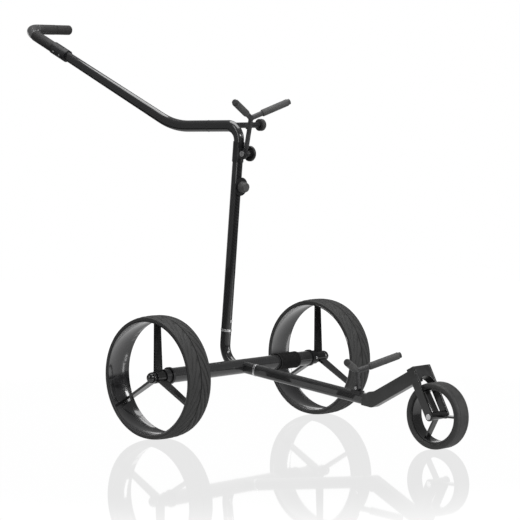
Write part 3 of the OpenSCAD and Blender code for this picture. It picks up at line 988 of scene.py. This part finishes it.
    def build(self) -> None:
        """Models the tyre and drum once and makes each side's wheel from them."""
        tyre, drum = self.tyre(), self.drum()
        for side in Side:
            tag = side.name.lower()
            low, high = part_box(f"tyre_{tag}")
            middle, across = (low + high) / 2, Vector((1, 0, 0))
            piece = tyre.twin(f"tyre_treaded_{tag}").stand(middle, across).done(30.0)
            self.shop.fit(piece, Look.TREAD, f"tyre_{tag}")
            piece = drum.twin(f"rim_lipped_{tag}").stand(middle, across).done()
            self.shop.fit(piece, Look.DRUM, f"rim_{tag}")
            self.shop.round_off(Look.GLOSS, 0.0009, f"spider_{tag}")
            self.shop.dress(Look.GLOSS, f"hub_cap_{tag}")
        tyre.discard()
        drum.discard()


# ---------------------------------------------------------------- axle


@dataclass
class Axle:
    """Axle tube with its end bushes, sockets, joint rings and ribbed twist sleeve."""

    shop: Shop
    ribs: int = 14
    rib_top: float = 0.0203
    rib_foot: float = 0.0188

    def sleeve(self) -> None:
        """The ribbed sleeve on the left half of the axle."""
        low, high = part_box("axle_sleeve")
        length = high.x - low.x
        bore = 0.0178
        collar = 0.0045
        pitch = (length - 2 * collar) / self.ribs
        profile = [(0.0, bore), (0.0, self.rib_top - 0.0006), (0.0006, self.rib_top), (collar - 0.0006, self.rib_top)]
        for rib in range(self.ribs):
            base = collar + rib * pitch
            profile += [(base, self.rib_foot), (base + pitch * 0.42, self.rib_foot),
                        (base + pitch * 0.58, self.rib_top - 0.0003), (base + pitch * 0.88, self.rib_top - 0.0003)]
        profile += [(length - collar, self.rib_foot), (length - collar + 0.0006, self.rib_top),
                    (length - 0.0006, self.rib_top), (length, self.rib_top - 0.0006), (length, bore)]
        start = Vector((low.x, LINES.axle().y, LINES.axle().z))
        self.shop.turned("axle_sleeve_ribbed", Look.TWIST, "axle_sleeve", start, Vector((1, 0, 0)), profile, 72, True)

    def build(self) -> None:
        """Makes the axle's pieces."""
        shop = self.shop
        shop.dress(Look.AXLE, "axle_tube")
        shop.dress(Look.MAST, "mast_socket")
        shop.dress(Look.ARM, "arm_socket")
        shop.dress(Look.SATIN, "mast_spigot", "arm_spigot")
        shop.dress(Look.BOLT, "stub_axle_left", "stub_axle_right")
        shop.round_off(Look.STEEL, 0.0005, "mast_ring", "arm_ring")
        shop.round_off(Look.SATIN, 0.0009, "axle_bush_left", "axle_bush_right")
        shop.round_off(Look.BUTTON, 0.0006, "release_left", "release_right")
        self.sleeve()


# ---------------------------------------------------------------- front arm, fork and wheel


@dataclass
class FrontEnd:
    """Front arm, fork and its small wheel."""

    shop: Shop
    tyre_depth: float = 0.0135

    def tyre(self) -> None:
        """Smooth rounded tyre with two fine lines round it."""
        low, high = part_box("front_tyre")
        outer = (high.z - low.z) / 2
        half = (high.x - low.x) / 2
        seat = outer - self.tyre_depth
        bulge = self.tyre_depth / 2
        flat = half - bulge
        steps = 9
        crown = [(x, outer - (0.0005 if abs(abs(x) - 0.0107) < 1e-6 else 0.0))
                 for x in (-0.0112, -0.0107, -0.0102, 0.0102, 0.0107, 0.0112)]
        arc = [(flat + bulge * math.cos(a), seat + bulge + bulge * math.sin(a))
               for a in (math.radians(90 - 180 * i / steps) for i in range(steps + 1))]
        left = [(-x, r) for x, r in reversed(arc)]
        self.shop.turned("front_tyre_lined", Look.FRONT_TREAD, "front_tyre", (low + high) / 2, Vector((1, 0, 0)),
                         left + crown + arc, 96, True)

    def build(self) -> None:
        """Makes the front end's pieces."""
        shop = self.shop
        shop.dress(Look.ARM, "arm_tube")
        shop.round_off(Look.FORK, 0.0011, "fork_bar", "fork_crown", "fork_leg_left", "fork_leg_right")
        shop.round_off(Look.BOLT, 0.0006, "front_axle", "lower_pin")
        shop.round_off(Look.BUTTON, 0.0006, "arm_catch")
        shop.round_off(Look.SATIN, 0.0004, "lower_saddle")
        shop.round_off(Look.GLOSS, 0.0006, "front_rim")
        self.tyre()


# ---------------------------------------------------------------- bag cradles


@dataclass
class Cradle:
    """A yoke with two soft-sleeved arms and their end plugs."""

    shop: Shop
    level: str
    fork: Vector
    tip: Vector
    sleeve_radius: float = 0.0084
    bare: float = 0.031
    plug: float = 0.006

    def build(self) -> None:
        """Models one sleeve and one end plug and makes both arms from them."""
        self.shop.round_off(Look.CRADLE, 0.0007, f"{self.level}_yoke")
        length = (self.tip - self.fork).length - self.bare - self.plug
        radius, groove = self.sleeve_radius, self.sleeve_radius - 0.0004
        body = rounded_end(length, radius, 0.0012)
        ring = [(0.0030, radius), (0.0034, groove), (0.0042, groove), (0.0046, radius)]
        sleeve = Work("sleeve_pattern").lathe(body[:5] + ring + body[5:], 48, False)
        cap = [(-0.0004, 0.0066), *((s, r) for s, r in rounded_end(self.plug, 0.0070, 0.0014) if s > 0.002)]
        plug = Work("plug_pattern").lathe(cap, 48, False)
        for side in Side:
            tag = side.name.lower()
            tip = Vector((self.tip.x * side.value, self.tip.y, self.tip.z))
            direction = (tip - self.fork).normalized()
            piece = sleeve.twin(f"{self.level}_sleeve_{tag}_soft").stand(self.fork + direction * self.bare, direction)
            self.shop.fit(piece.done(), Look.SLEEVE, f"{self.level}_sleeve_{tag}")
            piece = plug.twin(f"{self.level}_plug_{tag}").stand(tip - direction * self.plug, direction)
            self.shop.fit(piece.done(), Look.PLUG, f"{self.level}_plugs", side is Side.LEFT)
        sleeve.discard()
        plug.discard()


# ---------------------------------------------------------------- mast


@dataclass
class Mast:
    """Mast with its catch, strap knob, cradle clamp, elbow and side rod."""

    shop: Shop

    def strap_knob(self) -> None:
        """Ribbed knob in front of the mast."""
        front = heading(LINES.mast_lean + 90)
        start = LINES.on_mast(LINES.strap_rise) + front * (LINES.tube_depth / 2 + 0.0033)
        profile = [(0, 0.0124), (0.0006, 0.013), (0.0030, 0.013), (0.0036, 0.0124), (0.0046, 0.0124), (0.0052, 0.013),
                   (0.0110, 0.013), (0.0128, 0.0124), (0.0172, 0.0106), (0.0180, 0.0098), (0.0180, 0.0076),
                   (0.0172, 0.0070), (0.0172, 0.0030)]
        self.shop.turned("strap_knob_stepped", Look.STRAP, "strap_knob", start, front, profile, 64)

    def stub_knob(self) -> None:
        """Soft knob on the side rod, with a dished face."""
        low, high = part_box("stub_knob")
        start = Vector((low.x, (low.y + high.y) / 2, (low.z + high.z) / 2))
        profile = [(0, 0.0070), (0, 0.0138), (0.0006, 0.0145), (0.0020, 0.0145), (0.0023, 0.0142), (0.0027, 0.0142),
                   (0.0030, 0.0145), (0.0086, 0.0145), (0.0104, 0.0142), (0.0118, 0.0132), (0.0127, 0.0117),
                   (0.0130, 0.0098), (0.0130, 0.0040)]
        self.shop.turned("stub_knob_dished", Look.KNOB, "stub_knob", start, Vector((1, 0, 0)), profile, 64)

    def cradle_knob(self) -> None:
        """Round hand knob on the clamp bolt, with a line round its rim."""
        low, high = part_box("cradle_knob")
        start = Vector((low.x, (low.y + high.y) / 2, (low.z + high.z) / 2))
        thick = high.x - low.x
        profile = [(0, 0.0070), (0, 0.0160), (0.0008, 0.0178), (0.0018, 0.0185), (0.0026, 0.0185), (0.0030, 0.0181),
                   (0.0036, 0.0181), (0.0040, 0.0185), (0.0058, 0.0185), (0.0070, 0.0178), (thick - 0.0006, 0.0158),
                   (thick, 0.0146), (thick, 0.0072), (thick - 0.0012, 0.0064)]
        self.shop.turned("cradle_knob_rimmed", Look.SATIN, "cradle_knob", start, Vector((1, 0, 0)), profile, 72)

    def build(self) -> None:
        """Makes the mast's pieces."""
        shop = self.shop
        shop.dress(Look.MAST, "mast_tube")
        shop.dress(Look.LEVEL, "top_elbow")
        shop.round_off(Look.BUTTON, 0.0007, "mast_catch")
        shop.round_off(Look.SATIN, 0.0005, "strap_flange", "mast_clamp", "stub_rod")
        shop.round_off(Look.BOLT, 0.0005, "cradle_bolt")
        self.strap_knob()
        self.stub_knob()
        self.cradle_knob()


# ---------------------------------------------------------------- handle and grip


@dataclass
class Handle:
    """Handle tube, collar and the wrapped L-shaped grip."""

    shop: Shop
    wrap_radius: float = 0.0135
    side_radius: float = 0.0129
    stitch: float = 0.0034
    stitch_long: float = 0.0024
    slant: float = 0.45
    core: float = 0.011
    lip: float = 0.0011

    def seam(self, name: str, start: Vector, direction: Vector, down: Vector, radius: float, length: float,
             node: str) -> None:
        """A welt along the wrap with a row of stitches over it.

        Args:
            name: what the seam's pieces are called.
            start: the wrap's start on its middle line.
            direction: the wrap's run.
            down: the side that the seam lies on.
            radius: the wrap's radius.
            length: the seam's length.
            node: the node that it rides with.
        """
        line = start + down * (radius - 0.0003)
        self.shop.turned(f"{name}_welt", Look.WRAP, node, line + direction * 0.001, direction,
                         rounded_end(length - 0.002, 0.00085, 0.0005, 2), 12, False, False)
        across = direction.cross(down).normalized()
        count = int((length - 0.006) / self.stitch)
        first = Work(f"{name}_stitches").lathe(rounded_end(self.stitch_long, 0.00036, 0.0003, 2), 6, False)
        slanted = (across + direction * self.slant).normalized()
        first.stand(Vector(), slanted)
        pattern = first.obj
        copies = []
        for i in range(count):
            twin = pattern.copy()
            twin.data = pattern.data.copy()
            bpy.context.scene.collection.objects.link(twin)
            middle = line + direction * (0.004 + i * self.stitch) + down * 0.0009
            twin.location = middle - slanted * (self.stitch_long / 2)
            copies.append(twin)
        Work.clear()
        for twin in copies:
            twin.select_set(True)
        bpy.context.view_layer.objects.active = copies[0]
        bpy.ops.object.transform_apply(location=True, rotation=True, scale=True)
        bpy.ops.object.join()
        joined = bpy.context.object
        bpy.data.objects.remove(pattern)
        joined.name = joined.data.name = f"{name}_stitches"
        for face in joined.data.polygons:
            face.use_smooth = True
        self.shop.fit(joined, Look.THREAD, node, False)

    def wraps(self) -> None:
        """The two wrapped stretches of the grip."""
        slope = heading(LINES.handle_rise)
        start = LINES.on_handle(LINES.grip_start + 0.001)
        length = LINES.grip_corner - LINES.grip_bend - LINES.grip_start - 0.001
        body = rounded_end(length, self.wrap_radius, self.lip)
        self.shop.turned("grip_wrap_lower_leather", Look.WRAP, "grip_wrap_lower", start, slope,
                         [(0.0, self.core), *body, (length, self.core)], 72, True)
        under = (Vector((-0.75, 0.0, 0.0)) - heading(LINES.handle_rise + 90)).normalized()
        self.seam("grip_lower_seam", start, slope, under, self.wrap_radius, length, "grip_wrap_lower")
        low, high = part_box("grip_wrap_side")
        reach = high.x - low.x
        corner = LINES.on_handle(LINES.grip_corner)
        side_start = Vector((low.x, corner.y, corner.z))
        self.shop.turned("grip_wrap_side_leather", Look.WRAP, "grip_wrap_side", side_start, Vector((1, 0, 0)),
                         [(0.0, self.core), *rounded_end(reach, self.side_radius, self.lip), (reach, self.core)],
                         72, True)
        front = heading(LINES.handle_rise + 195)
        self.seam("grip_side_seam", side_start, Vector((1, 0, 0)), front, self.side_radius, reach, "grip_wrap_side")

    def end_piece(self) -> None:
        """Closed end of the grip with a shallow ring and a domed tip."""
        low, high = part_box("grip_end")
        length = high.x - low.x
        radius = self.side_radius - 0.0003
        corner = LINES.on_handle(LINES.grip_corner)
        start = Vector((low.x, corner.y, corner.z))
        dome = [(length - 0.0055 + 0.0055 * math.sin(a), radius - 0.0055 * (1 - math.cos(a)))
                for a in (math.radians(15 * i) for i in range(7))]
        profile = [(0, radius - 0.0008), (0.0007, radius), (0.0030, radius), (0.0034, radius - 0.0005),
                   (0.0044, radius - 0.0005), (0.0048, radius), *dome]
        self.shop.turned("grip_end_domed", Look.WRAP, "grip_end", start, Vector((1, 0, 0)), profile, 72)

    def build(self) -> None:
        """Makes the handle's pieces."""
        shop = self.shop
        shop.dress(Look.LEVEL, "handle_bend")
        shop.dress(Look.BEND, "grip_core")
        shop.round_off(Look.SLOPE, 0.0, "handle_slope")
        shop.round_off(Look.GLOSS, 0.0003, "handle_seam")
        shop.round_off(Look.SATIN, 0.0007, "collar")
        shop.round_off(Look.BOLT, 0.0004, "collar_screws")
        self.wraps()
        self.end_piece()


# ---------------------------------------------------------------- studio


@dataclass(frozen=True)
class Softbox:
    """A studio light: where it stands, what it looks at, its size and its power."""

    name: str
    place: Point
    target: Point
    size: tuple[float, float]
    power: float


@dataclass
class Studio:
    """Pale floor, soft lights and the camera."""

    azimuth: float = -46.88
    elevation: float = 3.73
    roll: float = -0.70
    distance: float = 5.38745
    target: Point = (0.0, -0.147752, 0.400)
    lens: float = 158.97
    shift: tuple[float, float] = (-0.02004, 0.00013)
    sensor: float = 36.0
    dim: float = 0.20
    card_away: float = 4.8
    card_height: float = 0.26

    def camera(self) -> None:
        """Adds the camera at its viewing angle."""
        a, e, r = (math.radians(v) for v in (self.azimuth, self.elevation, self.roll))
        back = Vector((math.sin(a) * math.cos(e), -math.cos(a) * math.cos(e), math.sin(e)))
        right = Vector((math.cos(a), math.sin(a), 0.0))
        up = back.cross(right)
        turned = right * math.cos(r) + up * math.sin(r)
        risen = up * math.cos(r) - right * math.sin(r)
        data = bpy.data.cameras.new("camera")
        data.lens, data.sensor_width = self.lens, self.sensor
        data.shift_x, data.shift_y = self.shift
        data.clip_start, data.clip_end = 0.1, 100.0
        camera = bpy.data.objects.new("camera", data)
        camera.matrix_world = Matrix.Translation(Vector(self.target) + back * self.distance) @ Matrix(
            (turned, risen, back)).transposed().to_4x4()
        bpy.context.scene.collection.objects.link(camera)
        bpy.context.scene.camera = camera

    def lights(self) -> Iterable[Softbox]:
        """Lists the studio's softboxes.

        Returns:
            The softboxes, one by one.
        """
        yield Softbox("overhead", (0.0, 0.0, 2.7), (0, 0, 0.3), (2.2, 2.2), 66.0)
        yield Softbox("left_strip", (-3.0, 1.2, 1.4), (0, 0, 0.45), (0.5, 2.2), 16.0)
        yield Softbox("right_strip", (1.2, -3.1, 1.3), (0, 0, 0.45), (0.6, 2.0), 52.0)
        yield Softbox("fill", (-2.2, -3.6, 2.4), (0, 0, 0.4), (2.4, 0.7), 52.0)

    def world(self) -> None:
        """White to look at, dim to be lit by."""
        world = bpy.data.worlds.new("studio")
        world.use_nodes = True
        bpy.context.scene.world = world
        nodes, links = world.node_tree.nodes, world.node_tree.links
        path = nodes.new("ShaderNodeLightPath")
        strength = nodes.new("ShaderNodeMapRange")
        strength.inputs[3].default_value, strength.inputs[4].default_value = self.dim, 1.0
        links.new(path.outputs["Is Camera Ray"], strength.inputs[0])
        nodes["Background"].inputs[0].default_value = (1.0, 1.0, 1.0, 1.0)
        links.new(strength.outputs[0], nodes["Background"].inputs[1])

    def sheet(self, name: str, size: float, gloss: float, seen: float, lit: float, reach: float) -> bpy.types.Object:
        """A flat white sheet.

        Args:
            name: the sheet's name.
            size: its side.
            gloss: share of mirror-like reflection.
            seen: how bright it looks.
            lit: how bright its middle is to the other surfaces.
            reach: one over the distance at which that has faded.

        Returns:
            The sheet, lying at the origin.
        """
        Work.clear()
        bpy.ops.mesh.primitive_plane_add(size=size)
        plane = bpy.context.object
        plane.name = name
        shader = Shader(f"{name}_white")
        seen_share = shader.node("ShaderNodeLightPath", None, None, "Is Camera Ray")
        near = shader.node("ShaderNodeTexGradient", {"gradient_type": "SPHERICAL"},
                           {0: shader.place().scaled((reach, reach, reach))}, 1)
        glow = shader.node("ShaderNodeEmission", None,
                           {"Strength": seen_share * seen + (1 - seen_share) * near.step(0.0, 0.6) * lit})
        mirror = shader.node("ShaderNodeBsdfGlossy", None, {"Roughness": 0.03})
        both = shader.node("ShaderNodeMixShader", None, {0: near.step(0.0, 0.45) * gloss, 1: glow, 2: mirror})
        shader.tree.links.new(both.socket, shader.tree.nodes["Material Output"].inputs["Surface"])
        shader.tree.nodes.remove(shader.surface)
        plane.data.materials.append(shader.material)
        return plane

    def room(self) -> None:
        """A plain pale floor that mirrors faintly, and a white card behind."""
        floor = self.sheet("floor", 8.0, 0.25, 1.06, 0.85, 0.55)
        floor.location = (0.0, 0.0, -0.0002)
        card = self.sheet("card", 12.0, 0.0, 1.0, 1.0, 0.05)
        away = math.radians(self.azimuth)
        card.location = (-self.card_away * math.sin(away), self.card_away * math.cos(away), 0.0)
        card.rotation_euler = (math.radians(90.0), 0.0, away)
        card.scale = (1.0, self.card_height, 1.0)

    def build(self) -> None:
        """Sets up the studio."""
        self.camera()
        for box in self.lights():
            data = bpy.data.lights.new(box.name, "AREA")
            data.shape, data.size, data.size_y, data.energy = "RECTANGLE", *box.size, box.power
            lamp = bpy.data.objects.new(box.name, data)
            lamp.location = box.place
            lamp.rotation_mode = "QUATERNION"
            lamp.rotation_quaternion = (Vector(box.place) - Vector(box.target)).to_track_quat("Z", "Y")
            bpy.context.scene.collection.objects.link(lamp)
        self.world()
        self.room()
        bpy.context.scene.view_settings.view_transform = "Standard"


def main() -> None:
    """Builds the trolley's pieces in order and reports them."""
    logging.basicConfig(level=logging.INFO, format="%(name)s: %(message)s")
    shop = Shop()
    Studio().build()
    Axle(shop).build()
    RearWheels(shop).build()
    FrontEnd(shop).build()
    Cradle(shop, "lower", Vector(LINES.lower_fork), Vector(LINES.lower_tip)).build()
    Cradle(shop, "upper", Vector(LINES.upper_fork), Vector(LINES.upper_tip)).build()
    Mast(shop).build()
    Handle(shop).build()
    Work.clear()


if __name__ == "__main__":
    main()
